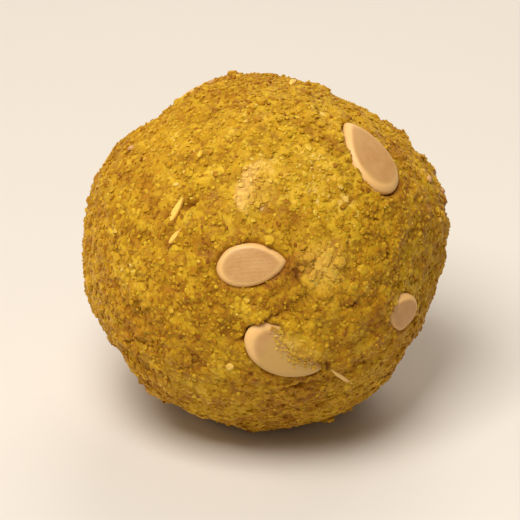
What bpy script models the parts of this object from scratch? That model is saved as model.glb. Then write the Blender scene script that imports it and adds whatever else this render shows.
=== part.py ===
"""A ladoo: a hand-rolled ball of fried gram-flour grains, with melon seeds pressed into it.

The ball stands on the small flat that its own weight presses into it. The origin is the middle of that
flat, +Z is up, and the side at -Y is the front. Places on the ball are given as on a globe: a compass
angle in degrees from +X towards +Y, and an elevation in degrees above the ball's equator.
"""

import math

import bmesh
import bpy
import numpy as np
from mathutils import Matrix, Vector

MM = 0.001

# The ball and the flat that it stands on
DIAMETER = 42 * MM
RADIUS = DIAMETER / 2
FOOT_RADIUS = 7.2 * MM
CENTRE_HEIGHT = math.sqrt(RADIUS**2 - FOOT_RADIUS**2)
BALL_SUBDIVISIONS = 5

# Flats that the palms leave: compass, elevation, depth in millimetres
PALM_FLATS = (
    (144, 46, 1.1),
    (200, -32, 0.9),
    (229, -54, 0.9),
    (-24, 5, 1.0),
    (52, 28, 0.6),
    (98, -22, 0.8),
    (-60, 62, 0.5),
)
FLAT_EDGE_BLEND = 0.22 * MM

# Bulges that the palms push up beside their flats: compass, elevation, width and height in millimetres
BULGES = (
    (8, 18, 18.0, 1.5),
)

# Swells of the whole ball, and the crumbly relief of its surface
SWELL_HEIGHT = 0.2 * MM
SWELL_LENGTH = 19 * MM
SWELL_SEED = 4
RELIEF_HEIGHT = 0.2 * MM
RELIEF_LENGTH = 3.8 * MM
RELIEF_SEED = 9
WAVES = 24

# Pits where crumbs have come away: compass, elevation, width and depth in millimetres
PITS = (
    (-122, 42, 2.0, 0.4),
    (-100, 3, 3.0, 0.6),
    (-158, 74, 2.8, 0.5),
    (38, 52, 3.2, 0.6),
    (84, 12, 3.4, 0.6),
    (150, -8, 3.0, 0.5),
    (-20, -30, 2.6, 0.5),
)

# Melon seeds: compass, elevation, turn of the tip from east towards up, lean about the long axis,
# then length, width and how far the seed stands proud, in millimetres
MELON_SEEDS = (
    (-93, 25, 7, 0, 8.1, 6.0, 0.45),
    (-21.6, 48.5, 70, -8, 10.2, 7.0, 0.60),
    (-81.8, -5.8, -35.5, -13, 10.4, 7.2, 0.40),
    (-35.6, -4.2, -103, 13, 4.6, 5.6, 0.65),
    (-92, 51, 76, 0, 7.8, 5.4, 0.10),
    (30, 10, 118, 0, 9.2, 5.9, 0.50),
    (66, 44, 20, -8, 8.6, 5.6, 0.45),
    (112, 4, 64, 10, 9.8, 6.1, 0.50),
    (92, -34, 160, 0, 8.4, 5.7, 0.40),
    (158, 22, -35, 0, 9.0, 5.7, 0.50),
    (176, -26, 95, 14, 8.6, 5.5, 0.50),
    (118, 44, -60, 0, 8.8, 5.8, 0.40),
)
SEED_THICKNESS = 1.9 * MM
SEED_SIDES = 14
SEED_TIP_SHARPNESS = 0.45
# Rings from the outer face to the inner one: share of the outline, then level in half thicknesses
SEED_RINGS = ((0.62, 0.95), (0.9, 0.62), (1.0, 0.0), (0.78, -0.8))

# Crumbs that stand out most: compass, elevation, radius and how far they stand proud, in millimetres
LOOSE_CRUMBS = (
    (162, 29, 1.5, 0.8),
    (-166, -3, 1.4, 0.7),
    (-6, 31, 1.3, 0.8),
    (-1, 26, 1.1, 0.6),
    (-69, 23, 1.4, 0.6),
    (-63, 20, 1.5, 0.7),
    (-66, 28, 1.3, 0.5),
    (-58, 25, 1.2, 0.6),
    (-49, 13, 1.3, 0.6),
)

# Crumbs pressed in over the rest of the ball, spread on a spiral from the top down
CRUMB_COUNT = 165
CRUMB_RADII = (1.0, 1.6)
CRUMB_PROUD = (0.3, 0.6)
CRUMB_HALF_HEIGHT = 0.8
CRUMB_SIDES = 6
CRUMB_ROUGHNESS = 0.18
CRUMB_WANDER = 0.07
CRUMB_SEED = 21
CRUMB_LOWEST = 3.2 * MM
CRUMB_SEED_GAP = 1.2 * MM
CRUMB_RINGS = ((0.55, 0.88), (1.0, 0.1), (0.7, -0.8))
GOLDEN_ANGLE = math.pi * (3 - math.sqrt(5))

# Finishes: sRGB colour, roughness
GRAM_CRUMB = ((0.78, 0.58, 0.16), 0.62)
SEED_KERNEL = ((0.89, 0.71, 0.47), 0.45)


def on_globe(compass, elevation):
    """The unit vector that points at a place on the ball."""
    around, up = math.radians(compass), math.radians(elevation)
    return Vector((math.cos(up) * math.cos(around), math.cos(up) * math.sin(around), math.sin(up)))


def wave_field(points, length, seed):
    """Soft random swells of about -1 to 1: plane waves of one length that cross in random directions."""
    rng = np.random.default_rng(seed)
    ways = rng.normal(size=(WAVES, 3))
    ways /= np.linalg.norm(ways, axis=1, keepdims=True)
    phases = rng.uniform(0, 2 * math.pi, WAVES)
    return np.sin(points @ ways.T * (2 * math.pi / length) + phases).sum(axis=1) / math.sqrt(WAVES)


def pressed_radius(ways):
    """Distance from the ball's centre along unit vectors: a sphere, cut softly by the palms' flats.

    The least of the sphere's radius and each flat's distance is taken with rounded edges between them.
    """
    cuts = [np.ones(len(ways))]
    for compass, elevation, depth in PALM_FLATS:
        facing = ways @ np.array(on_globe(compass, elevation))
        distance = (RADIUS - depth * MM) / np.maximum(facing, 0.2)
        cuts.append(np.exp((RADIUS - distance) / FLAT_EDGE_BLEND))
    return RADIUS - FLAT_EDGE_BLEND * np.log(np.sum(cuts, axis=0))


def round_spots(ways, spots):
    """The sum along unit vectors of round spots with soft rims, as high or deep as the table says."""
    total = np.zeros(len(ways))
    for compass, elevation, width, height in spots:
        apart = np.linalg.norm(ways - np.array(on_globe(compass, elevation)), axis=1) * RADIUS
        total += height * MM * np.exp(-((apart / (width * MM / 2)) ** 2))
    return total


def ball_radius(ways):
    """Distance from the ball's centre to its surface, as if it had been smoothed with a finger."""
    swell = SWELL_HEIGHT * wave_field(ways * RADIUS, SWELL_LENGTH, SWELL_SEED)
    return pressed_radius(ways) + round_spots(ways, BULGES) + swell


def crumbly_radius(ways):
    """Distance from the ball's centre to its surface, with the pits and the relief of the grains."""
    relief = RELIEF_HEIGHT * wave_field(ways * RADIUS, RELIEF_LENGTH, RELIEF_SEED)
    return ball_radius(ways) - round_spots(ways, PITS) + relief


def standing_at(way, reach, turn, lean=0.0):
    """A placing for a small piece, that far from the ball's centre, with its Z pointing outwards."""
    outwards = way.normalized()
    east = Vector((0, 0, 1)).cross(outwards).normalized()
    north = outwards.cross(east)
    axes = Matrix((east, north, outwards)).transposed().to_4x4()
    middle = Vector((0, 0, CENTRE_HEIGHT)) + outwards * reach
    turned = Matrix.Rotation(math.radians(turn), 4, "Z") @ Matrix.Rotation(math.radians(lean), 4, "X")
    return Matrix.Translation(middle) @ axes @ turned


def finish(name, colour, roughness):
    """A Principled BSDF with one colour."""
    material = bpy.data.materials.new(name)
    material.use_nodes = True
    shader = material.node_tree.nodes["Principled BSDF"]
    linear = [((value + 0.055) / 1.055) ** 2.4 for value in colour]
    shader.inputs["Base Color"].default_value = (*linear, 1)
    shader.inputs["Roughness"].default_value = roughness
    material.diffuse_color = (*colour, 1)
    return material


def object_of(bm, name, material, collection):
    """Makes an object of a bmesh, with its faces pointing outwards."""
    bmesh.ops.recalc_face_normals(bm, faces=bm.faces)
    mesh = bpy.data.meshes.new(name)
    bm.to_mesh(mesh)
    bm.free()
    mesh.materials.append(material)
    made = bpy.data.objects.new(name, mesh)
    collection.objects.link(made)
    return made


def make_ball(material, collection):
    """The pressed ball, with its pits and the relief of its grains."""
    bm = bmesh.new()
    bmesh.ops.create_icosphere(bm, subdivisions=BALL_SUBDIVISIONS, radius=1)
    ways = np.array([vertex.co.normalized() for vertex in bm.verts])
    for vertex, way, reach in zip(bm.verts, ways, crumbly_radius(ways)):
        vertex.co = Vector(way * reach) + Vector((0, 0, CENTRE_HEIGHT))
    return object_of(bm, "ladoo", material, collection)


def make_lump(name, outline, rings, half, placing, material, collection):
    """A small closed piece: an outline repeated in rings of their own share and level, with pointed ends."""
    bm = bmesh.new()
    loops = [
        [bm.verts.new((x * share, y * share, level * half)) for x, y in outline]
        for share, level in rings
    ]
    for upper, lower in zip(loops, loops[1:]):
        for corners in zip(upper, lower, lower[1:] + lower[:1], upper[1:] + upper[:1]):
            bm.faces.new(corners)
    for loop, level in ((loops[0], 1), (loops[-1], -1)):
        middle = bm.verts.new((0, 0, level * half))
        for near, far in zip(loop, loop[1:] + loop[:1]):
            bm.faces.new((near, far, middle))
    bmesh.ops.transform(bm, matrix=placing, verts=bm.verts)
    return object_of(bm, name, material, collection)


def seed_outline(length, width):
    """Points round a seed: an oval that is drawn in to a tip at +X."""
    for step in range(SEED_SIDES):
        angle = 2 * math.pi * step / SEED_SIDES
        drawn_in = math.sin(angle / 2) ** SEED_TIP_SHARPNESS
        yield math.cos(angle) * length / 2, math.sin(angle) * drawn_in * width / 2


def make_seed(number, material, collection):
    """One melon seed, pressed nearly flat into the surface."""
    compass, elevation, turn, lean, length, width, proud = MELON_SEEDS[number]
    way = on_globe(compass, elevation)
    half = SEED_THICKNESS / 2
    reach = ball_radius(np.array([way]))[0] + proud * MM - half
    outline = list(seed_outline(length * MM, width * MM))
    placing = standing_at(way, reach, turn, lean)
    return make_lump(f"melon_seed_{number}", outline, SEED_RINGS, half, placing, material, collection)


def crumb_places():
    """Every crumb's way, radius and height proud: the loose ones, then a spiral clear of seeds and foot."""
    for compass, elevation, radius, proud in LOOSE_CRUMBS:
        yield on_globe(compass, elevation), radius, proud
    rng = np.random.default_rng(CRUMB_SEED)
    seeds = [
        (on_globe(compass, elevation), length * MM / 2 + CRUMB_SEED_GAP)
        for compass, elevation, _, _, length, _, _ in MELON_SEEDS
    ]
    for step in range(CRUMB_COUNT):
        height = 1 - 2 * (step + 0.5) / CRUMB_COUNT
        ring = math.sqrt(1 - height**2)
        around = GOLDEN_ANGLE * step
        way = Vector((ring * math.cos(around), ring * math.sin(around), height))
        way = (way + Vector(rng.normal(size=3)) * CRUMB_WANDER).normalized()
        radius = rng.uniform(*CRUMB_RADII)
        proud = rng.uniform(*CRUMB_PROUD)
        near_seed = any((way - middle).length * RADIUS < reach for middle, reach in seeds)
        if CENTRE_HEIGHT + way.z * RADIUS > CRUMB_LOWEST and not near_seed:
            yield way, radius, proud


def make_crumb(number, place, material, collection):
    """One crumb: a low lump with uneven corners, pressed in so that only its top shows."""
    way, radius, proud = place
    rng = np.random.default_rng(CRUMB_SEED + number)
    half = radius * CRUMB_HALF_HEIGHT * MM
    corners = radius * MM * rng.uniform(1 - CRUMB_ROUGHNESS, 1 + CRUMB_ROUGHNESS, CRUMB_SIDES)
    angles = np.arange(CRUMB_SIDES) * (2 * math.pi / CRUMB_SIDES)
    outline = list(zip(corners * np.cos(angles), corners * np.sin(angles)))
    reach = crumbly_radius(np.array([way]))[0] + proud * MM - half
    placing = standing_at(way, reach, rng.uniform(0, 360))
    return make_lump(f"crumb_{number}", outline, CRUMB_RINGS, half, placing, material, collection)


def fuse(ball, collection):
    """Joins everything in the collection to the ball as one solid, then removes what was joined."""
    union = ball.modifiers.new("fused toppings", "BOOLEAN")
    union.operation = "UNION"
    union.operand_type = "COLLECTION"
    union.collection = collection
    union.solver = "EXACT"
    union.material_mode = "TRANSFER"
    bpy.context.view_layer.objects.active = ball
    bpy.ops.object.modifier_apply(modifier=union.name)
    for piece in list(collection.objects):
        bpy.data.objects.remove(piece)
    bpy.data.collections.remove(collection)


def press_foot(ball):
    """Cuts the ball off level at the surface that it stands on, and closes it with one flat face."""
    bm = bmesh.new()
    bm.from_mesh(ball.data)
    everything = [*bm.verts, *bm.edges, *bm.faces]
    down = (0, 0, -1)
    cut = bmesh.ops.bisect_plane(bm, geom=everything, plane_co=(0, 0, 0), plane_no=down, clear_outer=True)
    rim = [item for item in cut["geom_cut"] if isinstance(item, bmesh.types.BMEdge)]
    bmesh.ops.contextual_create(bm, geom=rim)
    bmesh.ops.recalc_face_normals(bm, faces=bm.faces)
    bm.to_mesh(ball.data)
    bm.free()


def main():
    for old in list(bpy.data.objects):
        bpy.data.objects.remove(old)
    scene = bpy.context.scene.collection
    gram_crumb = finish("gram_crumb", *GRAM_CRUMB)
    seed_kernel = finish("seed_kernel", *SEED_KERNEL)
    ball = make_ball(gram_crumb, scene)
    toppings = bpy.data.collections.new("toppings")
    scene.children.link(toppings)
    for number in range(len(MELON_SEEDS)):
        make_seed(number, seed_kernel, toppings)
    for number, place in enumerate(crumb_places()):
        make_crumb(number, place, gram_crumb, toppings)
    fuse(ball, toppings)
    press_foot(ball)
    ball.data.shade_smooth()
    ball.data.set_sharp_from_angle(angle=math.radians(40))


main()
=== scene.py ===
# %% [markdown]
# # A ladoo with melon seeds
#
# A ladoo is a sweet that is rolled by hand: gram flour is fried in ghee until it is golden, mixed with sugar
# and pressed between the palms into a ball. The flour clumps into crumbs of about a millimetre, so the ball
# looks sandy. Peeled melon seeds, flat and pale, are pressed in with the crumbs.
#
# This lesson dresses a plain solid of the ball. The first cell loads that solid as a fixed frame: the new
# surfaces are laid over it and none of it is moved.

# %% The frame
import math

import bpy
import numpy as np
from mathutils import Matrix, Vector


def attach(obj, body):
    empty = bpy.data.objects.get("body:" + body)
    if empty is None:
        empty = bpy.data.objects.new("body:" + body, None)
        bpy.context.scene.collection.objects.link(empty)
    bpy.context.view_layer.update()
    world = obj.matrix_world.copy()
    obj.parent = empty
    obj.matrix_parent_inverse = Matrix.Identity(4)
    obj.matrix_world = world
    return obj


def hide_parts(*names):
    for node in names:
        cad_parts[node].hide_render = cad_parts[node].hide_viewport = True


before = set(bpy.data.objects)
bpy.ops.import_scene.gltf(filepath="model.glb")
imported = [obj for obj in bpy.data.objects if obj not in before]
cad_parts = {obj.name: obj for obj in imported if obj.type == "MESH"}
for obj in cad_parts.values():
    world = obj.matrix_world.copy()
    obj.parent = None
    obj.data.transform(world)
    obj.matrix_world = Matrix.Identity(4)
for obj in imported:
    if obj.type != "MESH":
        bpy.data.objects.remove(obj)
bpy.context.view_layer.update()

# %% [markdown]
# ## Places on a ball
#
# A seed's place could be typed as x, y and z, but then it would float or sink whenever the ball changed.
# Here each place is a direction from the ball's centre, given as on a globe: a compass angle from +X towards
# +Y, and an elevation above the equator. The surface's distance in that direction is worked out afterwards.

# %% Directions and tangent frames
MM = 0.001
RADIUS = 21 * MM
FOOT_RADIUS = 7.2 * MM
CENTRE_HEIGHT = math.sqrt(RADIUS**2 - FOOT_RADIUS**2)


def unit(vectors):
    """The same directions with a length of one."""
    return vectors / np.linalg.norm(vectors, axis=-1, keepdims=True)


def on_globe(compass, elevation):
    """The unit vector at a compass angle and an elevation: cosines and sines of the two angles multiplied."""
    around, up = np.radians(compass), np.radians(elevation)
    return np.array([np.cos(up) * np.cos(around), np.cos(up) * np.sin(around), np.sin(up)])


def tangent_frame(ways, turn=0.0):
    """East, north and outward unit vectors at each direction, the first two turned by the given degrees."""
    ways = np.atleast_2d(ways)
    east = unit(np.cross([0.0, 0.0, 1.0], ways))
    north = np.cross(ways, east)
    turned = np.radians(turn)
    along = east * np.cos(turned) + north * np.sin(turned)
    across = north * np.cos(turned) - east * np.sin(turned)
    return along, across, ways


def spiral(count, wander, rng):
    """Directions spread evenly over a ball: equal steps of height, each a golden angle on, then jittered."""
    step = np.arange(count)
    height = 1 - 2 * (step + 0.5) / count
    around = step * math.pi * (3 - math.sqrt(5))
    ring = np.sqrt(1 - height**2)
    ways = np.stack([ring * np.cos(around), ring * np.sin(around), height], axis=1)
    return unit(ways + rng.normal(size=ways.shape) * wander * math.sqrt(4 * math.pi / count))


print("ball radius, mm:", RADIUS / MM, "centre height, mm:", round(CENTRE_HEIGHT / MM, 2))

# %% [markdown]
# ## The pressed ball
#
# A rolled ladoo is never a true sphere. Each squeeze leaves a shallow flat with a rounded edge, and the whole
# ball swells a little here and there. A sphere cut by planes gives the flats. Taking the smaller of the two
# distances would leave a knife edge, so the sum of exponentials is used, which rounds it off.

# %% The ball's radius in every direction
# Flats: compass, elevation, depth in millimetres
PALM_FLATS = (
    (144, 46, 1.1),
    (200, -32, 0.9),
    (229, -54, 0.9),
    (-24, 5, 1.0),
    (52, 28, 0.6),
    (98, -22, 0.8),
    (-60, 62, 0.5),
)
FLAT_EDGE_BLEND = 0.22 * MM
# Bulges beside the flats: compass, elevation, width and height in millimetres
BULGES = (
    (8, 18, 18.0, 1.5),
)
WAVES = 24
# Height and length of the swells that show through everything
BALL_SWELLS = (0.2 * MM, 19 * MM)
# Keeps the distance to a flat's plane finite
LEAST_FACING = 0.2


def wave_field(points, length, seed):
    """Soft random swells of about -1 to 1: plane waves of one length in random directions, added up."""
    rng = np.random.default_rng(seed)
    headings = unit(rng.normal(size=(WAVES, 3)))
    phases = rng.uniform(0, 2 * math.pi, WAVES)
    return np.sin(points @ headings.T * (2 * math.pi / length) + phases).sum(axis=1) / math.sqrt(WAVES)


def swells(points, height, length, seed):
    """Soft random swells of a given height and length."""
    return height * wave_field(points, length, seed)


def pressed_radius(ways):
    """The least of the sphere's radius and the distance to each flat's plane, with the edges rounded."""
    cuts = [np.ones(len(ways))]
    for compass, elevation, depth in PALM_FLATS:
        facing = np.maximum(ways @ on_globe(compass, elevation), LEAST_FACING)
        cuts.append(np.exp((RADIUS - (RADIUS - depth * MM) / facing) / FLAT_EDGE_BLEND))
    return RADIUS - FLAT_EDGE_BLEND * np.log(np.sum(cuts, axis=0))


def round_spots(ways, spots):
    """Round heights or depths: each is its size times the bell curve of the distance from its middle."""
    total = np.zeros(len(ways))
    for compass, elevation, width, height in spots:
        apart = np.linalg.norm(ways - on_globe(compass, elevation), axis=1) * RADIUS
        total += height * MM * np.exp(-((apart / (width * MM / 2)) ** 2))
    return total


def ball_radius(ways):
    """The pressed sphere, its bulges and long swells, as if the crumbs had been smoothed with a finger."""
    swell = swells(ways * RADIUS, *BALL_SWELLS, seed=4)
    return pressed_radius(ways) + round_spots(ways, BULGES) + swell


print("radius at the top left flat, mm:", ball_radius(on_globe(144, 46)[None])[0] / MM)

# %% [markdown]
# ## Where the seeds lie
#
# A peeled melon seed is a flat drop, 8 to 10 mm long, round at one end and drawn to a tip at the other. They
# lie flat in the surface. One is half covered by crumbs, and one lies just under them and only shows through.
# The outline is an oval whose width is multiplied by a power of the half angle's sine, which makes the tip.

# %% Melon seeds: places and outline
# Compass, elevation, turn of the tip, lean about the long axis, length, width, height proud
MELON_SEEDS = (
    (-93, 25, 7, 0, 8.1, 6.0, 0.45),
    (-21.6, 48.5, 70, -8, 10.2, 7.0, 0.60),
    (-81.8, -5.8, -35.5, -13, 10.4, 7.2, 0.40),
    (-35.6, -4.2, -103, 13, 4.6, 5.6, 0.65),
    (-92, 51, 76, 0, 7.8, 5.4, -0.40),
    (30, 10, 118, 0, 9.2, 5.9, 0.50),
    (66, 44, 20, -8, 8.6, 5.6, 0.45),
    (112, 4, 64, 10, 9.8, 6.1, 0.50),
    (92, -34, 160, 0, 8.4, 5.7, 0.40),
    (158, 22, -35, 0, 9.0, 5.7, 0.50),
    (176, -26, 95, 14, 8.6, 5.5, 0.50),
    (118, 44, -60, 0, 8.8, 5.8, 0.40),
)
SEED_THICKNESS = 1.9 * MM
TIP_SHARPNESS = 0.45
BURIED_SEED = 4
HALF_COVERED_SEED = 2
FAR_FROM_SEEDS = 9 * MM
# Gaps are worked out this far beyond a seed's ends, on its own side of the ball
SEED_SURROUND = 4 * MM
SAME_SIDE = 0.7
# Middle and half axes of the oval of crumbs over the half covered seed, in millimetres on its face
COVER_MIDDLE = (1.4, 3.9)
COVER_HALF_AXES = (4.8, 4.0)
# The film over the buried seed: how far inside the outline it is full, then where it starts towards the
# western rim and the tip, in shares of the half width and half length, and how fast it grows from there
FILM_EDGE = 0.35 * MM
WESTERN_START = -0.15
WESTERN_SLOPE = 1.9
TIP_START = 0.4
TIP_SLOPE = 3
TIP_FILM = 0.6
LEAST_FILM = 0.1
# The film over the half covered seed, and how much of it thick crumbs take away
COVERED_FILM = 0.35
COVERED_FILM_EDGE = 1.2 * MM
COVERED_FILM_LOSS = 0.8
# Patches of crumb in the film's tan: compass, elevation, width in millimetres, share
TAN_PATCHES = (
    (-67.6, 22.8, 4.6, 0.5),
)


def seed_outline(angles, length, width):
    """An oval: x is a cosine, and y is a sine times the half angle's sine raised to a power."""
    drawn_in = np.abs(np.sin(angles / 2)) ** TIP_SHARPNESS
    return np.cos(angles) * length / 2, np.sin(angles) * drawn_in * width / 2


def on_seed(ways, seed):
    """Places measured from a seed's middle, along it and across it, in metres."""
    along, across, middle = tangent_frame(on_globe(*seed[:2]), seed[2])
    x, y = ways @ along[0] * RADIUS, ways @ across[0] * RADIUS
    return x, y, ways @ middle[0] > SAME_SIDE


def seed_gap(ways, seed, sides=72):
    """Distance from each direction's place to a seed's outline, in metres, below zero inside it."""
    length, width = seed[4] * MM, seed[5] * MM * math.cos(math.radians(seed[3]))
    x, y, facing = on_seed(ways, seed)
    rim_x, rim_y = seed_outline(np.linspace(0, 2 * math.pi, sides, endpoint=False), length, width)
    gap = np.full(len(ways), FAR_FROM_SEEDS)
    near = facing & (np.hypot(x, y) < length / 2 + SEED_SURROUND)
    gap[near] = np.hypot(x[near, None] - rim_x, y[near, None] - rim_y).min(axis=1)
    angle = np.arccos(np.clip(x / (length / 2), -1, 1))
    inside = near & (np.abs(y) < seed_outline(angle, length, width)[1])
    return np.where(inside, -gap, gap)


def cover_oval(x, y):
    """How far out a place on the half covered seed is in the oval of crumbs over it: 1 is the oval's edge."""
    (middle_x, middle_y), (half_x, half_y) = COVER_MIDDLE, COVER_HALF_AXES
    return np.hypot((x / MM - middle_x) / half_x, (y / MM - middle_y) / half_y)


def crumb_cover(ways, edge=0.88, softness=0.25):
    """How thickly crumbs lie over the half covered seed, from 0 to 1: an oval that fades out at its edge."""
    x, y, facing = on_seed(ways, MELON_SEEDS[HALF_COVERED_SEED])
    return np.clip((edge - cover_oval(x, y)) / softness + 0.5, 0, 1) * facing


def seed_film(ways):
    """How much seeds show through the crumbs over them, from 0 to 1.

    The buried seed shows most along its western rim and round its tip, and the half covered one a little
    where the crumbs end. A few patches of crumb have the same tan.
    """
    buried, covered = MELON_SEEDS[BURIED_SEED], MELON_SEEDS[HALF_COVERED_SEED]
    x, y, _ = on_seed(ways, buried)
    inside = np.clip(-seed_gap(ways, buried) / FILM_EDGE, 0, 1)
    western = np.clip((y / (buried[5] * MM / 2) - WESTERN_START) * WESTERN_SLOPE, 0, 1)
    tipward = TIP_FILM * np.clip((x / (buried[4] * MM / 2) - TIP_START) * TIP_SLOPE, 0, 1)
    over_buried = inside * np.maximum(np.maximum(western, tipward), LEAST_FILM)
    thin = COVERED_FILM * (1 - COVERED_FILM_LOSS * crumb_cover(ways, edge=0.6, softness=0.5))
    over_covered = np.clip(-seed_gap(ways, covered) / COVERED_FILM_EDGE, 0, 1) * thin
    patches = round_spots(ways, TAN_PATCHES) / MM
    return np.maximum(np.maximum(over_buried, over_covered), patches)


print("melon seeds:", len(MELON_SEEDS))

# %% [markdown]
# ## The crumbs of the surface
#
# Pressed crumbs fit together like a stone wall: each is a low dome, and narrow crevices run between them.
# Loose round grains would leave gaps, so the wall itself is made as relief on the ball. A cell pattern does
# that: each crumb has a middle and a size, and each place on the ball belongs to the crumb that it is deepest
# in. The distance to the border with the next crumb then gives the dome and the crevice.

# %% The crumb pattern
CRUMB_TOTAL = 4800
CRUMB_HALF_SIZES = (0.3 * MM, 1.0 * MM)
CRUMB_WANDER = 0.42
# The higher this power, the more of the crumbs are small
SMALL_CRUMB_POWER = 2.2
CRUMB_LIFT = 0.07 * MM
CRUMB_TILT = 0.16
BORDER_SWAY = (0.2 * MM, 1.5 * MM)
ROWS_AT_ONCE = 4000
# Less than any depth, so that the deepest crumb is passed over
PASSED_OVER = -9

draw = np.random.default_rng(11)
crumb_ways = spiral(CRUMB_TOTAL, CRUMB_WANDER, draw)
crumb_sizes = np.interp(draw.random(CRUMB_TOTAL) ** SMALL_CRUMB_POWER, (0, 1), CRUMB_HALF_SIZES)
crumb_lift = draw.normal(0, CRUMB_LIFT, CRUMB_TOTAL)
crumb_tilt = draw.normal(0, CRUMB_TILT, (CRUMB_TOTAL, 3))
crumb_tone = draw.random(CRUMB_TOTAL)


def deepest_two(ways):
    """The two crumbs that each direction is deepest in, and how much deeper it is in the first.

    Depth is the cosine to the crumb's middle plus half the square of the crumb's size, both for a unit ball.
    """
    weight = (crumb_sizes / RADIUS) ** 2 / 2
    first, second, lead = [], [], []
    for start in range(0, len(ways), ROWS_AT_ONCE):
        depth = ways[start : start + ROWS_AT_ONCE] @ crumb_ways.T + weight
        row = np.arange(len(depth))
        best = depth.argmax(axis=1)
        best_depth = depth[row, best]
        depth[row, best] = PASSED_OVER
        runner = depth.argmax(axis=1)
        first.append(best)
        second.append(runner)
        lead.append(best_depth - depth[row, runner])
    return np.concatenate(first), np.concatenate(second), np.concatenate(lead)


def crumb_cells(ways):
    """The crumb at each direction, the distance to its border, and its slope. A warp makes borders wavy."""
    points = ways * RADIUS
    sway = np.stack([swells(points, *BORDER_SWAY, seed) for seed in (31, 32, 33)], axis=1)
    warped = unit(points + sway)
    first, second, lead = deepest_two(warped)
    apart = np.linalg.norm(crumb_ways[first] - crumb_ways[second], axis=1)
    lean = ((warped - crumb_ways[first]) * crumb_tilt[first]).sum(axis=1) * RADIUS
    return first, lead / apart * RADIUS, lean


print("crumbs:", CRUMB_TOTAL, "median size, mm:", round(float(np.median(crumb_sizes)) * 2 / MM, 2))

# %% [markdown]
# ## Pits, cracks and the beds of the seeds
#
# Where a crumb has fallen out there is a pit, and where the ball was squeezed too hard there is a crack.
# Both are dents with a bell-shaped profile: round for a pit, long and wavy for a crack, and both get painted
# shade. A seed presses its own bed, with a dark line of painted shade round it and a low bank of crumbs
# beside that.

# %% Dents of all kinds
# Compass, elevation, width and depth in millimetres
PITS = (
    (-122, 42, 2.0, 0.4),
    (-100, 3, 3.0, 0.6),
    (-158, 74, 2.8, 0.5),
    (38, 52, 3.2, 0.6),
    (84, 12, 3.4, 0.6),
    (150, -8, 3.0, 0.5),
    (-20, -30, 2.6, 0.5),
)
# Compass, elevation, turn, length and depth in millimetres
CRACKS = (
    (-91.2, 3.8, 39, 8.0, 0.8),
    (-93.6, 2.4, 49, 4.6, 0.9),
    (-124.5, 36, 80, 6.4, 0.4),
    (-120.8, 42, 40, 2.2, 0.7),
    (-165, 76, 60, 2.8, 0.5),
    (-76.4, -19.5, 5, 5.4, 0.6),
    (-67.6, -13.6, -86, 3.2, 0.6),
    (-76.5, 20, -84, 3.2, 0.4),
    (-58, 8, 15, 3.6, 0.4),
    (-40, 20, 80, 4.0, 0.4),
)
CRACK_HALF_WIDTH = 0.27 * MM
CRACK_SWAY = 0.22 * MM
CRACK_SWAY_LENGTH = 0.42 * MM
SMALL_CRACKS = 46
SMALL_CRACK_LENGTHS = (1.4, 3.2)
SMALL_CRACK_DEPTHS = (0.15, 0.4)
SEED_BED_DEPTH = 0.75 * MM
SEED_BED_EDGE = 0.3 * MM
SEED_GROOVE = 0.2 * MM
SEED_GROOVE_WIDTH = 0.28 * MM
SEED_GROOVE_SHADE = 0.8
SEED_BANK = 0.16 * MM
SEED_BANK_GAP = 0.8 * MM
SEED_BANK_WIDTH = 0.5 * MM
COVER_HEIGHT = 0.55 * MM
COVER_SLOPE = 2.5 * MM


def crack_depth(ways, compass, elevation, turn, length, depth):
    """A long dent: a bell curve across a swaying line, faded out along its length as a parabola."""
    along, across, middle = tangent_frame(on_globe(compass, elevation), turn)
    x, y = ways @ along[0] * RADIUS, ways @ across[0] * RADIUS
    sway = CRACK_SWAY * np.sin(x / CRACK_SWAY_LENGTH + compass)
    fade = np.clip(1 - (x / (length * MM / 2)) ** 2, 0, 1)
    facing = ways @ middle[0] > 0
    return depth * MM * facing * fade * np.exp(-(((y - sway) / CRACK_HALF_WIDTH) ** 2))


def all_cracks(ways):
    """The chosen cracks and many short ones, spread at random: the deepest at each place."""
    rng = np.random.default_rng(5)
    deepest = np.zeros(len(ways))
    for crack in CRACKS:
        deepest = np.maximum(deepest, crack_depth(ways, *crack))
    for x, y, z in spiral(SMALL_CRACKS, wander=0.5, rng=rng):
        compass, elevation = math.degrees(math.atan2(y, x)), math.degrees(math.asin(z))
        turn, length = rng.uniform(0, 180), rng.uniform(*SMALL_CRACK_LENGTHS)
        depth = rng.uniform(*SMALL_CRACK_DEPTHS)
        deepest = np.maximum(deepest, crack_depth(ways, compass, elevation, turn, length, depth))
    return deepest


def seed_beds(ways):
    """Height change and painted shade by the seeds: a bed inside each outline, a groove on it, a bank
    outside.
    """
    change, dark = np.zeros(len(ways)), np.zeros(len(ways))
    for number, seed in enumerate(MELON_SEEDS):
        if number == BURIED_SEED:
            continue
        gap = seed_gap(ways, seed)
        bed = np.clip(-gap / SEED_BED_EDGE, 0, 1) * SEED_BED_DEPTH
        groove = SEED_GROOVE * np.exp(-((gap / SEED_GROOVE_WIDTH) ** 2))
        bank = SEED_BANK * np.exp(-(((gap - SEED_BANK_GAP) / SEED_BANK_WIDTH) ** 2))
        shade = groove / SEED_GROOVE * SEED_GROOVE_SHADE
        moved = bank - bed - groove
        if number == HALF_COVERED_SEED:
            cover = crumb_cover(ways)
            moved = moved * (1 - cover) + cover * COVER_HEIGHT * np.clip(1 - gap / COVER_SLOPE, 0, 1)
            shade = shade * (1 - cover)
        change += moved
        dark = np.maximum(dark, shade)
    return change, dark


print("pits:", len(PITS), "cracks:", len(CRACKS) + SMALL_CRACKS)
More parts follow.
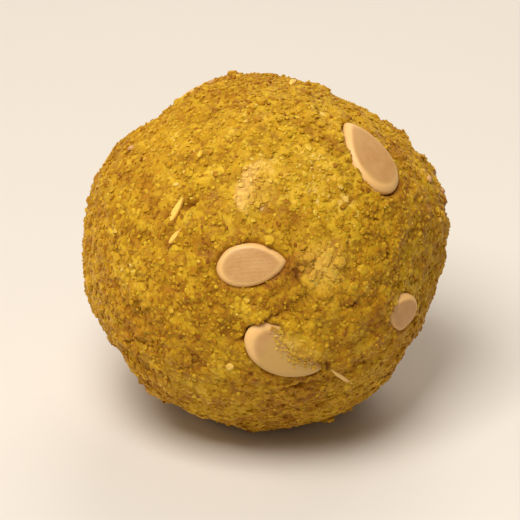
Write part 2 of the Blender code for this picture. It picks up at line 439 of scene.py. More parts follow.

# %% [markdown]
# ## The whole surface
#
# All of that adds up to one function: a direction goes in, and the distance of the surface comes out, with
# marks that the finish will read later. `tone` says how pale a crumb is, with a few patches of painted light
# and shade in it, and `hollow` how deep in a crevice a place lies, which the finish uses for painted shade.
# The palms press some zones nearly smooth, so the relief is scaled down there.

# %% The ladoo's surface as one function
CREVICE_WIDTH = 0.22 * MM
DOME_HEIGHT = 0.24 * MM
DOME_SPREAD = 0.55
# A dome is one height taller for each of these in half size, and this share of it lies under the ball
LARGE_CRUMB = 1.6 * MM
DOME_SUNK = 0.8
# Where the palms pressed, and where crevices open: a middle, with swells of that height and length
PRESSED_MIDDLE = 0.5
PRESSED_SWELLS = (0.75, 13 * MM)
PRESSED_SMOOTHING = 0.5
OPEN_MIDDLE = 0.55
OPEN_SWELLS = (0.6, 2.6 * MM)
LEAST_OPEN = 0.05
# Heights and lengths of the relief that crosses the crumbs
COARSE_RELIEF = (0.2 * MM, 3.8 * MM)
MIDDLE_RELIEF = (0.11 * MM, 2.1 * MM)
FINE_RELIEF = (0.05 * MM, 1.3 * MM)
# How far the painted shade reaches from a crevice, its share where nothing is rough, and depths that are
# painted dark
DARK_WIDTH = 0.18 * MM
SMOOTH_DARKNESS = 0.4
DARK_CRACK = 0.4 * MM
DARK_PIT = 0.5 * MM
PIT_DARKNESS = 0.5
# Tone of the darkest crumb, how far tones go up from there, and the broad patches that are added
TONE_START = 0.3
TONE_SPREAD = 0.4
BROAD_TONES = (0.08, 15 * MM)
NARROW_TONES = (0.06, 5 * MM)
# Keeps the distance to the table finite
LEAST_DROP = 1e-6
# Patches that are paler, or darker where below zero, some of them painted light and shade: compass,
# elevation, width in millimetres, tone
TONE_LIGHT_AND_SHADE_PATCHES = (
    (-67.8, 22.0, 5.5, 0.14),
    (-52, 44, 9.0, 0.1),
    (-120, 50, 12.0, 0.1),
    (-85, 14, 7.0, -0.18),
    (-78, -3, 6.0, 0.14),
    (-70, -24, 9.0, -0.2),
    (-85, 53, 3.0, -0.16),
    # Painted light: the bright band high in the middle
    (-61, 54, 9.0, 0.12),
    (-79, 40, 5.5, -0.2),
    # Painted shade beside the front seed's tip
    (-78, 22, 3.2, -0.3),
    # Painted shade on the centre left
    (-123, 22, 12.0, -0.1),
)


def patch_tone_light_and_shade(ways):
    """Broad patches of paler and darker crumb, about -0.2 to 0.2, at two lengths, and a few chosen ones,
    some of them painted light and painted shade.
    """
    points = ways * RADIUS
    broad = swells(points, *BROAD_TONES, seed=21) + swells(points, *NARROW_TONES, seed=22)
    return broad + round_spots(ways, TONE_LIGHT_AND_SHADE_PATCHES) / MM


def surface(ways):
    """Distance of the surface from the ball's centre in each direction, and its marks tone and hollow.

    The sum of the smooth ball, the coarse relief, the crumbs' domes, and the fine relief, less the dents.
    A slow wave opens and closes the crevices, so that they never run round every crumb.
    """
    points = ways * RADIUS
    crumb, border, lean = crumb_cells(ways)
    pressed = np.clip(PRESSED_MIDDLE + swells(points, *PRESSED_SWELLS, seed=8), 0, 1)
    rough = 1 - PRESSED_SMOOTHING * pressed
    open_here = np.clip(OPEN_MIDDLE + swells(points, *OPEN_SWELLS, seed=15), LEAST_OPEN, 1)
    crest = 1 - open_here * np.exp(-border / CREVICE_WIDTH)
    dome = DOME_HEIGHT * (crest - DOME_SUNK) * (DOME_SPREAD + crumb_sizes[crumb] / LARGE_CRUMB)
    cracks = all_cracks(ways)
    pits = round_spots(ways, PITS)
    beds, bed_dark = seed_beds(ways)
    coarse = swells(points, *COARSE_RELIEF, seed=9)
    lumps = swells(points, *MIDDLE_RELIEF, seed=17) + swells(points, *FINE_RELIEF, seed=14)
    relief = coarse + rough * (dome + crest * (crumb_lift[crumb] + lean) + lumps)
    reach = ball_radius(ways) + relief + beds - cracks - pits
    # Painted shade: `hollow` darkens crevices, cracks, pits and the seeds' grooves
    darkness = SMOOTH_DARKNESS + (1 - SMOOTH_DARKNESS) * rough
    hollow = open_here * np.exp(-border / DARK_WIDTH) * darkness
    hollow = np.maximum(hollow, cracks / DARK_CRACK)
    hollow = np.maximum(hollow, bed_dark)
    hollow = np.clip(hollow + PIT_DARKNESS * pits / DARK_PIT, 0, 1)
    tone = np.clip(TONE_START + TONE_SPREAD * crumb_tone[crumb] + patch_tone_light_and_shade(ways), 0, 1)
    return reach, tone, hollow


def to_points(ways, reach):
    """Points at those distances from the ball's centre, held up where they would pass through the table."""
    below = np.maximum(-ways[:, 2], LEAST_DROP)
    stopped = np.where(ways[:, 2] < 0, np.minimum(reach, CENTRE_HEIGHT / below), reach)
    return ways * stopped[:, None] + [0, 0, CENTRE_HEIGHT]


print("surface at the front, mm:", surface(on_globe(-90, 0)[None])[0] / MM)

# %% [markdown]
# ## A grid that covers a ball
#
# A globe's grid crowds at its poles. A cube's six faces, blown up to a sphere, give cells of nearly equal
# size everywhere, which suits crumbs of equal size. The lines are spaced by equal angles, and points that two
# faces share are made one, so the skin is closed.

# %% The cube-sphere and the mesh maker
BODY_STEPS = 128


def cube_sphere(steps):
    """Directions and quads of a cube's surface grid: the tangent of evenly spaced angles along each edge."""
    row, column = np.meshgrid(np.arange(steps + 1), np.arange(steps + 1), indexing="ij")
    lattice, corners = [], []
    for axis in range(3):
        for side in (0, steps):
            face = np.empty((steps + 1, steps + 1, 3), int)
            face[..., axis] = side
            face[..., (axis + 1) % 3] = row
            face[..., (axis + 2) % 3] = column
            number = np.arange(row.size).reshape(row.shape) + len(lattice) * row.size
            quads = np.stack([number[:-1, :-1], number[1:, :-1], number[1:, 1:], number[:-1, 1:]], axis=-1)
            quads = quads.reshape(-1, 4)
            corners.append(quads if side else quads[:, ::-1])
            lattice.append(face.reshape(-1, 3))
    places, welded = np.unique(np.concatenate(lattice), axis=0, return_inverse=True)
    ways = unit(np.tan((places * 2 / steps - 1) * math.pi / 4))
    return ways, welded.reshape(-1)[np.concatenate(corners)]


def make_piece(name, points, faces, marks, material, smooth=True):
    """Puts points, faces and marks into a mesh that rides on the ball, and prints its size."""
    mesh = bpy.data.meshes.new(name)
    mesh.from_pydata(points.tolist(), [], faces.tolist())
    for mark, values in marks.items():
        stored = mesh.attributes.new(mark, "FLOAT", "POINT")
        stored.data.foreach_set("value", np.asarray(values, dtype=np.float32))
    if smooth:
        mesh.shade_smooth()
    mesh.materials.append(material)
    piece = bpy.data.objects.new(name, mesh)
    bpy.context.scene.collection.objects.link(piece)
    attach(piece, "root")
    print(name, len(points), "points,", sum(len(face) - 2 for face in faces), "triangles")
    return piece


body_ways, body_quads = cube_sphere(BODY_STEPS)
print("directions:", len(body_ways), "quads:", len(body_quads))

# %% [markdown]
# ## Fried gram flour as a finish
#
# Gram flour fried in ghee is golden, and each crumb took its own share of heat, so neighbours differ from
# ochre to straw. Crevices get painted shade, darker and browner, because light that gets in is tinted at each
# bounce. The fat gives a faint broken sheen, and lets some light through the crumbs. One colour ramp over
# `tone` gives the crumbs their colours, and `hollow` mixes in the crevices' painted brown shade.

# %% Helpers for materials
def linear(hex_colour):
    """An sRGB hex colour as the linear values that shaders use."""
    shares = [int(hex_colour[place : place + 2], 16) / 255 for place in (1, 3, 5)]
    return (*[share / 12.92 if share <= 0.04045 else ((share + 0.055) / 1.055) ** 2.4 for share in shares], 1)


def node(tree, kind, settings=None, **links):
    """Adds a node, sets its properties from a dictionary, and sets or links the inputs that are named.

    An input is given by its name, or by its number as i0, i1 and so on.
    """
    made = tree.nodes.new(kind)
    for key, value in (settings or {}).items():
        setattr(made, key, value)
    for key, value in links.items():
        place = int(key[1:]) if key[0] == "i" and key[1:].isdigit() else key.replace("_", " ")
        if isinstance(value, bpy.types.NodeSocket):
            tree.links.new(value, made.inputs[place])
        else:
            made.inputs[place].default_value = value
    return made


def new_finish(name, values):
    """A new material, its node tree, and its Principled shader, whose own sockets take the values."""
    material = bpy.data.materials.new(name)
    material.use_nodes = True
    shader = material.node_tree.nodes["Principled BSDF"]
    for socket, value in values.items():
        shader.inputs[socket].default_value = value
    return material, material.node_tree, shader


def patchy(tree, place, size, detail, low, high, least, most, roughness=0.5):
    """Noise of a size in metres: its values from low to high are spread from least to most."""
    noise = node(tree, "ShaderNodeTexNoise", Vector=place, Scale=1 / size, Detail=detail, Roughness=roughness)
    spread = node(tree, "ShaderNodeMapRange", i0=noise.outputs["Fac"], i1=low, i2=high, i3=least, i4=most)
    return spread.outputs[0]


def set_ramp(ramp, stops):
    """Gives a colour ramp its stops: pairs of place and hex colour."""
    elements = ramp.color_ramp.elements
    while len(elements) < len(stops):
        elements.new(0.5)
    for element, (place, colour) in zip(elements, stops):
        element.position = place
        element.color = linear(colour)


# %% Gram crumb
CRUMB_COLOURS = ((0.0, "#8b5506"), (0.28, "#ac790c"), (0.55, "#c69a16"), (0.8, "#dab12a"), (1.0, "#edc666"))
ROASTED_COLOUR = "#b07014"
# Painted shade: the brown for crevices, cracks, pits and the seeds' grooves
CREVICE_SHADE_COLOUR = "#743b03"
FILM_COLOUR = "#f6c668"
CRUMB_SHADER = {
    "IOR": 1.42,
    "Specular IOR Level": 0.25,
    "Sheen Weight": 0.55,
    "Sheen Roughness": 0.3,
    "Sheen Tint": linear("#f0b878"),
    "Subsurface Weight": 0.25,
    "Subsurface Radius": (1.0, 0.5, 0.1),
    "Subsurface Scale": 0.7 * MM,
}


def mix(tree, share, first, second):
    """A mix of two colours: the second takes the given share."""
    return node(tree, "ShaderNodeMix", {"data_type": "RGBA"}, i0=share, i6=first, i7=second).outputs[2]


def times(tree, value, factor):
    """A value multiplied by a number."""
    return node(tree, "ShaderNodeMath", {"operation": "MULTIPLY"}, i0=value, i1=factor).outputs[0]


def mark(tree, name):
    """The values of a mark that the mesh carries."""
    return node(tree, "ShaderNodeAttribute", {"attribute_name": name}).outputs["Fac"]


def gram_crumb():
    """Fried gram flour: crumb tones with fine speckle, painted brown shade in crevices, a broken sheen of
    ghee.
    """
    material, tree, shader = new_finish("gram_crumb", CRUMB_SHADER)
    place = node(tree, "ShaderNodeTexCoord").outputs["Object"]
    speckle = patchy(tree, place, 0.45 * MM, 3.0, low=0.3, high=0.7, least=-0.16, most=0.16, roughness=0.6)
    tone = node(tree, "ShaderNodeMath", {"use_clamp": True}, i0=mark(tree, "tone"), i1=speckle)
    crumb = node(tree, "ShaderNodeValToRGB", Fac=tone.outputs[0])
    set_ramp(crumb, CRUMB_COLOURS)
    roasted = patchy(tree, place, 9 * MM, 2.0, low=0.48, high=0.7, least=0.0, most=0.25)
    golden = mix(tree, roasted, crumb.outputs["Color"], linear(ROASTED_COLOUR))
    filmed = mix(tree, times(tree, mark(tree, "film"), 0.8), golden, linear(FILM_COLOUR))
    # Painted shade: a brown mixed in where `hollow` marks crevices, cracks, pits and seed grooves
    creviced = mix(tree, times(tree, mark(tree, "hollow"), 0.8), filmed, linear(CREVICE_SHADE_COLOUR))
    gloss = patchy(tree, place, 2.2 * MM, 2.0, low=0.35, high=0.65, least=0.5, most=0.75)
    grit = node(tree, "ShaderNodeTexNoise", Vector=place, Scale=1 / (0.26 * MM), Detail=4.0, Roughness=0.7)
    bump = node(tree, "ShaderNodeBump", Height=grit.outputs["Fac"], Strength=0.7, Distance=0.12 * MM)
    tree.links.new(creviced, shader.inputs["Base Color"])
    tree.links.new(gloss, shader.inputs["Roughness"])
    tree.links.new(bump.outputs["Normal"], shader.inputs["Normal"])
    return material


crumb_finish = gram_crumb()
print("finish:", crumb_finish.name)

# %% [markdown]
# ## The body
#
# The skin of the ball is the grid of directions, pushed out to the surface function's distances. It stands
# in for the plain solid, which is then hidden.

# %% Body of pressed crumbs
body_reach, body_tone, body_hollow = surface(body_ways)
body_marks = {"tone": body_tone, "hollow": body_hollow, "film": seed_film(body_ways)}
body = make_piece(
    "ladoo_body", to_points(body_ways, body_reach), body_quads, body_marks, crumb_finish
)
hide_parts("ladoo")

# %% [markdown]
# ## Melon seed kernels
#
# A kernel is a flat ivory drop, stained peach by the ghee, with a paler, slightly raised rim and fine lines
# along its length. One grid makes it: one parameter runs round the outline, the other from the middle of the
# upper face over the rim to the middle of the lower face.

# %% Melon kernel finish
KERNEL_FACE = "#c89b62"
KERNEL_RIM = "#e6b976"
KERNEL_STAIN = "#b38046"
KERNEL_DUST = "#c8a158"
KERNEL_GOLD = "#f0c356"
KERNEL_SHADER = {
    "Roughness": 0.48,
    "IOR": 1.46,
    "Subsurface Weight": 0.2,
    "Subsurface Radius": (1.0, 0.7, 0.4),
    "Subsurface Scale": 0.7 * MM,
}


def melon_kernel():
    """Peeled melon seed: ivory stained with ghee, a paler rim, fine lines along it, a soft satin sheen."""
    material, tree, shader = new_finish("melon_kernel", KERNEL_SHADER)
    place = node(tree, "ShaderNodeTexCoord").outputs["Object"]
    stained = patchy(tree, place, 2 * MM, 4.0, low=0.4, high=0.7, least=0.0, most=0.6, roughness=0.6)
    face = mix(tree, stained, linear(KERNEL_FACE), linear(KERNEL_STAIN))
    rimmed = mix(tree, mark(tree, "rim"), face, linear(KERNEL_RIM))
    dusted = mix(tree, mark(tree, "dust"), rimmed, linear(KERNEL_DUST))
    coloured = mix(tree, mark(tree, "gold"), dusted, linear(KERNEL_GOLD))
    fibre = node(tree, "ShaderNodeMath", {"operation": "SINE"}, i0=mark(tree, "line"))
    pores = node(tree, "ShaderNodeTexNoise", Vector=place, Scale=1 / (0.35 * MM), Detail=3.0)
    fibres = times(tree, fibre.outputs[0], 0.12)
    height = node(tree, "ShaderNodeMath", {"operation": "ADD"}, i0=fibres, i1=pores.outputs["Fac"])
    bump = node(tree, "ShaderNodeBump", Height=height.outputs[0], Strength=0.5, Distance=0.07 * MM)
    tree.links.new(coloured, shader.inputs["Base Color"])
    tree.links.new(bump.outputs["Normal"], shader.inputs["Normal"])
    return material


kernel_finish = melon_kernel()

# %% Melon seeds as one mesh
SEED_SIDES = 56
SEED_RINGS = 27
SEED_HUG = 0.5
# How square the rim is, how far the upper face sinks in shares of the half thickness, and from where
RIM_POWER = 6
FACE_SINK = 0.12
FACE_SHARE = 0.8
# The paler rim begins at this share of the outline, and is full this much further out
RIM_START = 0.76
RIM_FADE = 0.09
# Shares by which the outline strays from its curve, twice and three times round
UNEVEN_TWICE = 0.025
UNEVEN_THRICE = 0.018
# Each kernel has random numbers of its own, from this seed upwards
FIRST_DRAW = 400
# Flour on the half covered seed, but for its blunt end: how thick, where it starts, how soon it is full
DUST_SHARE = 0.9
DUST_START = -3.3 * MM
DUST_FADE = 1.2 * MM
FIBRE_SPACING = 0.45 * MM


def closed_grid(rings, sides):
    """Triangles of a closed grid: point 0 is the top, then rings of points, and the last is the bottom."""
    ring, side = np.meshgrid(np.arange(rings - 1), np.arange(sides), indexing="ij")
    upper = 1 + ring * sides + side
    upper_next = 1 + ring * sides + (side + 1) % sides
    lower, lower_next = upper + sides, upper_next + sides
    walls = np.stack([upper, lower, lower_next, upper, lower_next, upper_next], axis=-1).reshape(-1, 3)
    around = np.arange(sides)
    following = (around + 1) % sides
    last = (rings - 1) * sides + 1
    top = np.stack([np.zeros_like(around), 1 + around, 1 + following], axis=1)
    bottom = np.stack([np.full_like(around, last + sides), last + following, last + around], axis=1)
    return np.concatenate([top, walls, bottom])


def kernel_shape(seed, number, thickness=SEED_THICKNESS, hug=SEED_HUG, plain=0.0, gold=0.0):
    """Points of one kernel, and its marks.

    From the middle of the upper face round to the middle of the lower one, the outline's share is a sine and
    the level is the root of one less the share's sixth power. The upper face sinks a little inside a raised
    rim, and the kernel bends by the share `hug` of the ball's own roundness. The least share of the rim's
    colour is `plain`, and `gold` is the share of a golden tint.
    """
    compass, elevation, turn, lean, length, width, proud = seed
    rng = np.random.default_rng(FIRST_DRAW + number)
    passing = np.linspace(0, math.pi, SEED_RINGS + 2)[1:-1, None]
    angles = np.linspace(0, 2 * math.pi, SEED_SIDES, endpoint=False)[None]
    share = np.sin(passing)
    level = np.sign(np.cos(passing)) * np.sqrt(np.maximum(1 - share**RIM_POWER, 0))
    sunken = np.clip(1 - (share / FACE_SHARE) ** RIM_POWER, 0, 1) * (passing < math.pi / 2)
    level = level - FACE_SINK * sunken
    x, y = seed_outline(angles, length * MM, width * MM)
    first, second = rng.uniform(0, 6, 2)
    uneven = 1 + UNEVEN_TWICE * np.sin(2 * angles + first) + UNEVEN_THRICE * np.sin(3 * angles + second)
    x, y = x * share * uneven, y * share * uneven
    z = level * thickness / 2 + 0 * x
    grid = np.stack([x, y, z], axis=-1).reshape(-1, 3)
    top, bottom = [[0, 0, (1 - FACE_SINK) * thickness / 2]], [[0, 0, -thickness / 2]]
    local = np.concatenate([top, grid, bottom])
    local[:, 2] -= (local[:, 0] ** 2 + local[:, 1] ** 2) / (2 * RADIUS) * hug
    tilt = math.radians(lean)
    across = local[:, 1] * math.cos(tilt) - local[:, 2] * math.sin(tilt)
    upward = local[:, 1] * math.sin(tilt) + local[:, 2] * math.cos(tilt)
    way = on_globe(compass, elevation)
    reach = ball_radius(way[None])[0] + proud * MM - thickness / 2
    east, north, outward = tangent_frame(way, turn)
    points = local[:, :1] * east + across[:, None] * north + (reach + upward[:, None]) * outward
    paler = np.clip((share - RIM_START) / RIM_FADE, plain, 1)
    dust = DUST_SHARE * np.clip((local[:, 0] - DUST_START) / DUST_FADE, 0, 1)
    marks = {
        "rim": np.concatenate([[plain], np.repeat(paler.ravel(), SEED_SIDES), [plain]]),
        "dust": dust * (number == HALF_COVERED_SEED),
        "line": local[:, 1] / FIBRE_SPACING * 2 * math.pi,
        "gold": np.full(len(points), gold),
    }
    return points + [0, 0, CENTRE_HEIGHT], marks


def make_kernels(name, kernels):
    """Joins kernels from `kernel_shape` into one piece."""
    triangles = closed_grid(SEED_RINGS, SEED_SIDES)
    size = len(kernels[0][0])
    faces = np.concatenate([triangles + number * size for number in range(len(kernels))])
    points = np.concatenate([shape for shape, _ in kernels])
    joined = {key: np.concatenate([marks[key] for _, marks in kernels]) for key in kernels[0][1]}
    return make_piece(name, points, faces, joined, kernel_finish)


make_kernels("melon_seeds", [kernel_shape(seed, number) for number, seed in enumerate(MELON_SEEDS)])

# %% Slivers of broken seeds
# Compass, elevation, turn, lean, length, width, height proud, share of golden tint
SEED_SLIVERS = (
    (-125.9, 38.2, 82, 0, 3.4, 0.95, 0.32, 1.0),
    (-122.8, 30.4, 66, 0, 2.4, 0.7, 0.18, 0.9),
    (-60.7, -19.9, -46, 0, 5.4, 0.6, 0.14, 0.4),
    (18, -22, 40, 0, 3.4, 0.9, 0.3, 0.6),
    (74, 18, -30, 0, 4.2, 0.8, 0.3, 0.8),
    (144, 34, 80, 0, 3.0, 1.0, 0.3, 0.9),
    (138, -18, 10, 0, 3.8, 0.8, 0.3, 0.6),
    (56, -50, 50, 0, 3.0, 0.8, 0.3, 0.4),
    (60, 68, -70, 0, 3.4, 0.9, 0.3, 0.9),
)
SLIVER_THICKNESS = 0.7 * MM
# Keeps the slivers' random draws apart from the whole seeds'
FIRST_SLIVER = 50
slivers = [
    kernel_shape(sliver[:7], FIRST_SLIVER + number, SLIVER_THICKNESS, hug=1.0, plain=1.0, gold=sliver[7])
    for number, sliver in enumerate(SEED_SLIVERS)
]
make_kernels("seed_slivers", slivers)

# %% [markdown]
# ## Loose grains
#
# Relief alone has no overhangs, and a real ladoo is all single grains, pressed into a crust and catching the
# light one by one. So grains of three sizes are set close together on the surface. Each is a low-sided lump
# with its corners pushed in and out, and its top is flattened the way a palm flattens it. All grains of one
# size are one mesh, worked out together as arrays: grains down one side, corners down the other.

# %% A maker of grains
def lump_template(rings, sides):
    """Corners of a unit ball by rings, as two angles, with a top and a bottom point."""
    down = np.linspace(0, math.pi, rings + 2)[1:-1, None]
    around = np.linspace(0, 2 * math.pi, sides, endpoint=False)[None]
    x, y, z = np.sin(down) * np.cos(around), np.sin(down) * np.sin(around), np.cos(down) + 0 * around
    ring = np.stack([x, y, z], axis=-1)
    return np.concatenate([[[0, 0, 1]], ring.reshape(-1, 3), [[0, 0, -1]]])


def turned_at_random(count, rng):
    """Rotation matrices from random unit quaternions, one for each grain."""
    w, x, y, z = unit(rng.normal(size=(count, 4))).T
    rows = [
        [1 - 2 * (y * y + z * z), 2 * (x * y - w * z), 2 * (x * z + w * y)],
        [2 * (x * y + w * z), 1 - 2 * (x * x + z * z), 2 * (y * z - w * x)],
        [2 * (x * z - w * y), 2 * (y * z + w * x), 1 - 2 * (x * x + y * y)],
    ]
    return np.moveaxis(np.array(rows), -1, 0)


TOP_SHARE = 0.5
TOP_SQUEEZE = 0.2
# How much each corner, and each grain's three widths, differ from the template
CORNER_STRAY = (0.68, 1.18)
WIDTH_STRAY = (0.7, 1.3)
# Painted shade towards a grain's buried base: its share level with the surface, the depth that adds a whole
# share, and the most
LEVEL_SHADE = 0.15
SHADE_DEPTH = 0.25 * MM
MOST_SHADE = 0.8
LOWEST_CORNER = 0.02 * MM
OPEN_CRACK = 0.16 * MM
THICK_COVER = 0.85
# The grains' tones: middle and spread, then which draws are roasted or pale, and by how much
GRAIN_TONE = (0.5, 0.13)
ROASTED_BELOW = 0.05
ROASTED_TONE = 0.4
PALE_ABOVE = 0.965
PALE_TONE = 0.28


def make_grains(name, ways, sizes, proud, tones, fineness, seed, smooth=False, reach=None, chips=False):
    """Lumps at the given directions: a template made uneven, turned, and pressed flat on top.

    What stands further out than half of the half size is squeezed to a fifth. The top lies `proud` of the
    surface, or of the distances in `reach`, so the rest is buried. `fineness` is the template's rings and
    sides. Chips have the kernels' finish.
    """
    rings, sides = fineness
    rng = np.random.default_rng(seed)
    template = lump_template(rings, sides)
    count = len(ways)
    uneven = rng.uniform(*CORNER_STRAY, (count, len(template), 1)) * rng.uniform(*WIDTH_STRAY, (count, 1, 3))
    corners = np.einsum("gij,gcj->gci", turned_at_random(count, rng), template * uneven)
    outward = (corners * ways[:, None]).sum(axis=-1, keepdims=True)
    corners -= ways[:, None] * np.maximum(outward - TOP_SHARE, 0) * (1 - TOP_SQUEEZE)
    if reach is None:
        reach, _, _ = surface(ways)
    middles = ways * (reach + proud - TOP_SHARE * sizes / 2)[:, None]
    points = (middles[:, None] + corners * sizes[:, None, None] / 2).reshape(-1, 3)
    height = np.linalg.norm(points, axis=1) - np.repeat(reach, len(template))
    # Painted shade, darker the further a corner lies below the surface
    hollow = np.clip(LEVEL_SHADE - height / SHADE_DEPTH, 0, MOST_SHADE)
    points[:, 2] = np.maximum(points[:, 2] + CENTRE_HEIGHT, LOWEST_CORNER)
    faces = (closed_grid(rings, sides)[None] + np.arange(count)[:, None, None] * len(template)).reshape(-1, 3)
    if chips:
        return make_piece(name, points, faces, {}, kernel_finish, smooth)
    tones = np.clip(tones + patch_tone_light_and_shade(ways), 0, 1)
    marks = {"tone": np.repeat(tones, len(template)), "hollow": hollow}
    marks["film"] = np.repeat(seed_film(ways), len(template))
    return make_piece(name, points, faces, marks, crumb_finish, smooth)


def clear_of_seeds(ways, margin):
    """True where a direction is further than the margin from every seed that shows, or on the cover."""
    free = np.ones(len(ways), bool)
    for number, seed in enumerate(MELON_SEEDS):
        if number != BURIED_SEED:
            free &= seed_gap(ways, seed) > margin
    return free | (crumb_cover(ways) > THICK_COVER)


def clear_of_cracks(ways):
    """True where no crack is deep enough to stay open."""
    return all_cracks(ways) < OPEN_CRACK


def clear_of_foot(ways, height):
    """True where the ball's surface is higher than that above the table."""
    return CENTRE_HEIGHT + ways[:, 2] * RADIUS > height


def strewn(count, smallest, largest, power, wander, margin, seed):
    """Grains all over the ball, clear of seeds, foot and cracks: ways and sizes.

    The higher the power, the more of them are small. Sizes and margin are in millimetres.
    """
    rng = np.random.default_rng(seed)
    ways = spiral(count, wander, rng)
    sizes = np.interp(rng.random(count) ** power, (0, 1), (smallest * MM, largest * MM))
    kept = clear_of_seeds(ways, margin * MM) & clear_of_foot(ways, largest * MM / 2) & clear_of_cracks(ways)
    return ways[kept], sizes[kept], rng


def speckled(count, rng):
    """Tones near the middle, with one grain in twenty roasted darker and fewer left paler."""
    tones = rng.normal(*GRAIN_TONE, count)
    odd = rng.random(count)
    return tones - ROASTED_TONE * (odd < ROASTED_BELOW) + PALE_TONE * (odd > PALE_ABOVE)


# %% Raised crumbs
# Compass, elevation, size in millimetres, tone
LOOSE_CRUMBS = (
    (162, 29, 2.0, 0.6),
    (-166, -3, 1.8, 0.6),
    (-72.4, 26.4, 1.7, 0.45),
    (-68.8, 23.1, 2.2, 0.5),
    (-65.2, 19.7, 1.8, 0.45),
    (-71.2, 20.2, 1.5, 0.4),
    (-65.7, 25.1, 2.0, 0.5),
    (-61.5, 22.8, 1.7, 0.5),
    (-61, 28.1, 0.8, 0.8),
    (-53.1, 17.9, 1.5, 0.7),
    (-63.4, 14.2, 1.4, 0.5),
    (-58.5, 12.6, 1.4, 0.6),
    (-86.6, 33, 1.2, 0.75),
    (-84.7, 52.1, 0.7, 0.8),
    (-99.7, -10.9, 1.1, 0.8),
)
CHOSEN_PROUD = 0.22 * MM

raised_ways, raised_sizes, draw = strewn(600, 0.9, 1.5, power=1.8, wander=0.6, margin=0.5, seed=51)
beside_cover = crumb_cover(raised_ways) == 0
raised_ways, raised_sizes = raised_ways[beside_cover], raised_sizes[beside_cover]
raised_proud = draw.uniform(0.02, 0.2, len(raised_ways)) * MM
raised_tones = draw.normal(*GRAIN_TONE, len(raised_ways))
chosen = np.array(LOOSE_CRUMBS)
raised_ways = np.concatenate([on_globe(chosen[:, 0], chosen[:, 1]).T, raised_ways])
raised_sizes = np.concatenate([chosen[:, 2] * MM, raised_sizes])
raised_proud = np.concatenate([np.full(len(chosen), CHOSEN_PROUD), raised_proud])
raised_tones = np.concatenate([chosen[:, 3], raised_tones])
make_grains("raised_crumbs", raised_ways, raised_sizes, raised_proud, raised_tones, (4, 7), seed=61)

# %% Small grains
small_ways, small_sizes, draw = strewn(8000, 0.5, 1.0, power=1.6, wander=0.5, margin=0.25, seed=52)
small_proud = draw.uniform(0.0, 0.17, len(small_ways)) * MM
small_tones = speckled(len(small_ways), draw)
make_grains("small_grains", small_ways, small_sizes, small_proud, small_tones, (2, 6), seed=62)

# %% Fine grains
fine_ways, fine_sizes, draw = strewn(9800, 0.26, 0.55, power=1.0, wander=0.6, margin=0.12, seed=53)
fine_proud = draw.uniform(0.03, 0.17, len(fine_ways)) * MM
fine_tones = speckled(len(fine_ways), draw)
make_grains("fine_grains", fine_ways, fine_sizes, fine_proud, fine_tones, (2, 5), seed=63)

# %% [markdown]
# ## Crumbs strewn on a seed
#
# The crumbs over the half covered seed don't end at a line: single grains lie scattered on its bare face, and
# fewer of them the further out. Random places are drawn on the face, and each is kept with a chance that
# falls with its distance from the cover.

# %% Strewn crumbs
STREWN_TRIES = 1500
# Shares of the seed's length, width and outline that the grains keep inside
STREWN_REACH = 0.46
STREWN_INSET = 0.92
# Where the last grains lie, and over how much they thin out, in the cover's oval
STREWN_END = 1.3
STREWN_FADE = 0.5


def on_seed_face(seed, x, y):
    """Directions and distances from the ball's centre of places on a seed's upper face."""
    compass, elevation, turn, lean, _, _, proud = seed
    way = on_globe(compass, elevation)
    along, across, outward = tangent_frame(way, turn)
    height = ball_radius(way[None])[0] + proud * MM - (x**2 + y**2) / (2 * RADIUS) * SEED_HUG
    tilt = math.radians(lean)
    height = height + y * math.sin(tilt)
    points = x[:, None] * along + y[:, None] * math.cos(tilt) * across + height[:, None] * outward
    return unit(points), np.linalg.norm(points, axis=1)


draw = np.random.default_rng(55)
covered = MELON_SEEDS[HALF_COVERED_SEED]
strewn_x = draw.uniform(-STREWN_REACH, STREWN_REACH, STREWN_TRIES) * covered[4] * MM
strewn_y = draw.uniform(-STREWN_REACH, STREWN_REACH, STREWN_TRIES) * covered[5] * MM
place_angle = np.arccos(strewn_x / (covered[4] * MM / 2))
_, outline_y = seed_outline(place_angle, covered[4] * MM, covered[5] * MM)
chance = np.clip((STREWN_END - cover_oval(strewn_x, strewn_y)) / STREWN_FADE, 0, 1) ** 2
kept = (np.abs(strewn_y) < STREWN_INSET * outline_y) & (draw.random(STREWN_TRIES) < chance)
strewn_ways, strewn_reach = on_seed_face(covered, strewn_x[kept], strewn_y[kept])
strewn_sizes = draw.uniform(0.16, 0.44, len(strewn_ways)) * MM
strewn_proud = draw.uniform(0.02, 0.12, len(strewn_ways)) * MM
strewn_tones = draw.normal(*GRAIN_TONE, len(strewn_ways))
strewn_grains = (strewn_ways, strewn_sizes, strewn_proud, strewn_tones)
make_grains("strewn_crumbs", *strewn_grains, (2, 6), seed=65, reach=strewn_reach)

# %% Chips of seed
# Compass, elevation, size in millimetres
SEED_CHIPS = (
    (-2, 27.4, 1.0),
    (12.9, 21.9, 1.5),
    (9.4, 16.4, 0.9),
    (16.6, 42.3, 0.9),
    (24, -34, 1.2),
    (50, -8, 1.1),
    (88, 30, 1.3),
    (126, 62, 1.0),
    (140, 2, 1.2),
    (-176, 44, 1.1),
)
CHIP_PROUD = 0.3 * MM
chips = np.array(SEED_CHIPS)
chip_ways = on_globe(chips[:, 0], chips[:, 1]).T
chip_sizes = chips[:, 2] * MM
chip_proud = np.full(len(chips), CHIP_PROUD)
make_grains("seed_chips", chip_ways, chip_sizes, chip_proud, None, (3, 7), seed=64, smooth=True, chips=True)

# %% [markdown]
# ## Table, light and camera
#
# Sweets are photographed under soft light on something pale. A wide lamp high at the left front gives the
# form, a weak warm one from the front opens the shadow, and the pale table throws light back from below.
# Two more lamps, at the back and at the left, light the sides that the camera doesn't see. A long lens far
# away keeps the ball's outline round.

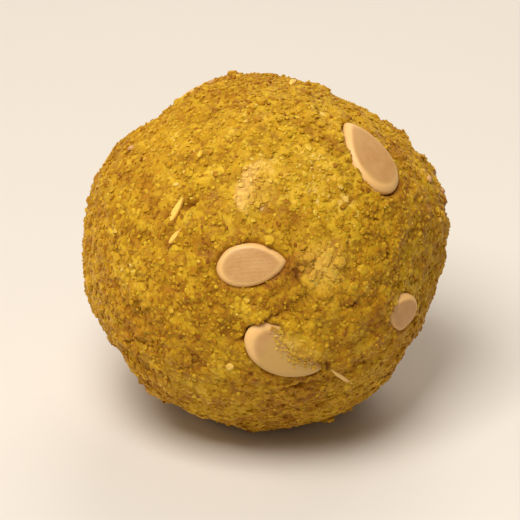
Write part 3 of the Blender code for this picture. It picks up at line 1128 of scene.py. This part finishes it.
# %% Table
def pale_table():
    """A smooth pale board: nearly white, matt, with a trace of unevenness in its gloss."""
    material, tree, shader = new_finish("pale_table", {"Base Color": linear("#d9d5cf")})
    place = node(tree, "ShaderNodeTexCoord").outputs["Object"]
    gloss = patchy(tree, place, 1 / 12, 2.0, low=0.3, high=0.7, least=0.5, most=0.6)
    tree.links.new(gloss, shader.inputs["Roughness"])
    return material


TABLE_RADIUS = 1.4
TABLE_SIDES = 96

turns = np.linspace(0, 2 * math.pi, TABLE_SIDES, endpoint=False)
rim = [(TABLE_RADIUS * math.cos(turn), TABLE_RADIUS * math.sin(turn), 0) for turn in turns]
table_mesh = bpy.data.meshes.new("table")
table_mesh.from_pydata(rim, [], [range(TABLE_SIDES)])
table_mesh.materials.append(pale_table())
table = bpy.data.objects.new("table", table_mesh)
bpy.context.scene.collection.objects.link(table)

# %% Light
def aimed(name, data, way, distance, height=CENTRE_HEIGHT):
    """Places a lamp or a camera in a direction from a point above the table, turned to face it."""
    made = bpy.data.objects.new(name, data)
    made.location = way * distance + [0, 0, height]
    made.rotation_mode = "QUATERNION"
    made.rotation_quaternion = Vector(way).to_track_quat("Z", "Y")
    bpy.context.scene.collection.objects.link(made)
    return made


def lamp(name, compass, elevation, distance, size, power, colour):
    """A square area lamp that shines at the ball from a place on the globe, with its power in watts."""
    data = bpy.data.lights.new(name, "AREA")
    data.size, data.energy, data.color = size, power, linear(colour)[:3]
    aimed(name, data, on_globe(compass, elevation), distance)


# Compass, elevation, distance and size in metres, power in watts, colour
LAMPS = {
    "key": (-120, 64, 0.5, 0.28, 2.9, "#fffaf2"),
    "fill": (-84, 20, 0.6, 0.4, 0.18, "#ffe9cc"),
    "back": (76, 40, 0.6, 0.4, 1.35, "#fff2e2"),
    "side": (168, 18, 0.6, 0.35, 0.6, "#ffe6cc"),
}
WORLD_STRENGTH = 0.2

for name, settings in LAMPS.items():
    lamp(name, *settings)
world = bpy.data.worlds.new("soft_room")
world.use_nodes = True
background = world.node_tree.nodes["Background"].inputs
background["Color"].default_value = linear("#f9ebd9")
background["Strength"].default_value = WORLD_STRENGTH
bpy.context.scene.world = world
bpy.context.scene.view_settings.view_transform = "Standard"

# %% Camera
PHOTO_ELEVATION = 29
CAMERA_DISTANCE = 0.8
FRAME_WIDTH = 62 * MM
# The camera looks this far below the ball's centre
LOOKING_LOWER = 1 * MM

camera_data = bpy.data.cameras.new("camera")
camera_data.lens = camera_data.sensor_width * CAMERA_DISTANCE / FRAME_WIDTH
camera_data.clip_start = 0.05
back = on_globe(-90, PHOTO_ELEVATION)
camera = aimed("camera", camera_data, back, CAMERA_DISTANCE, CENTRE_HEIGHT - LOOKING_LOWER)
bpy.context.scene.camera = camera
print("lens, mm:", round(camera_data.lens))
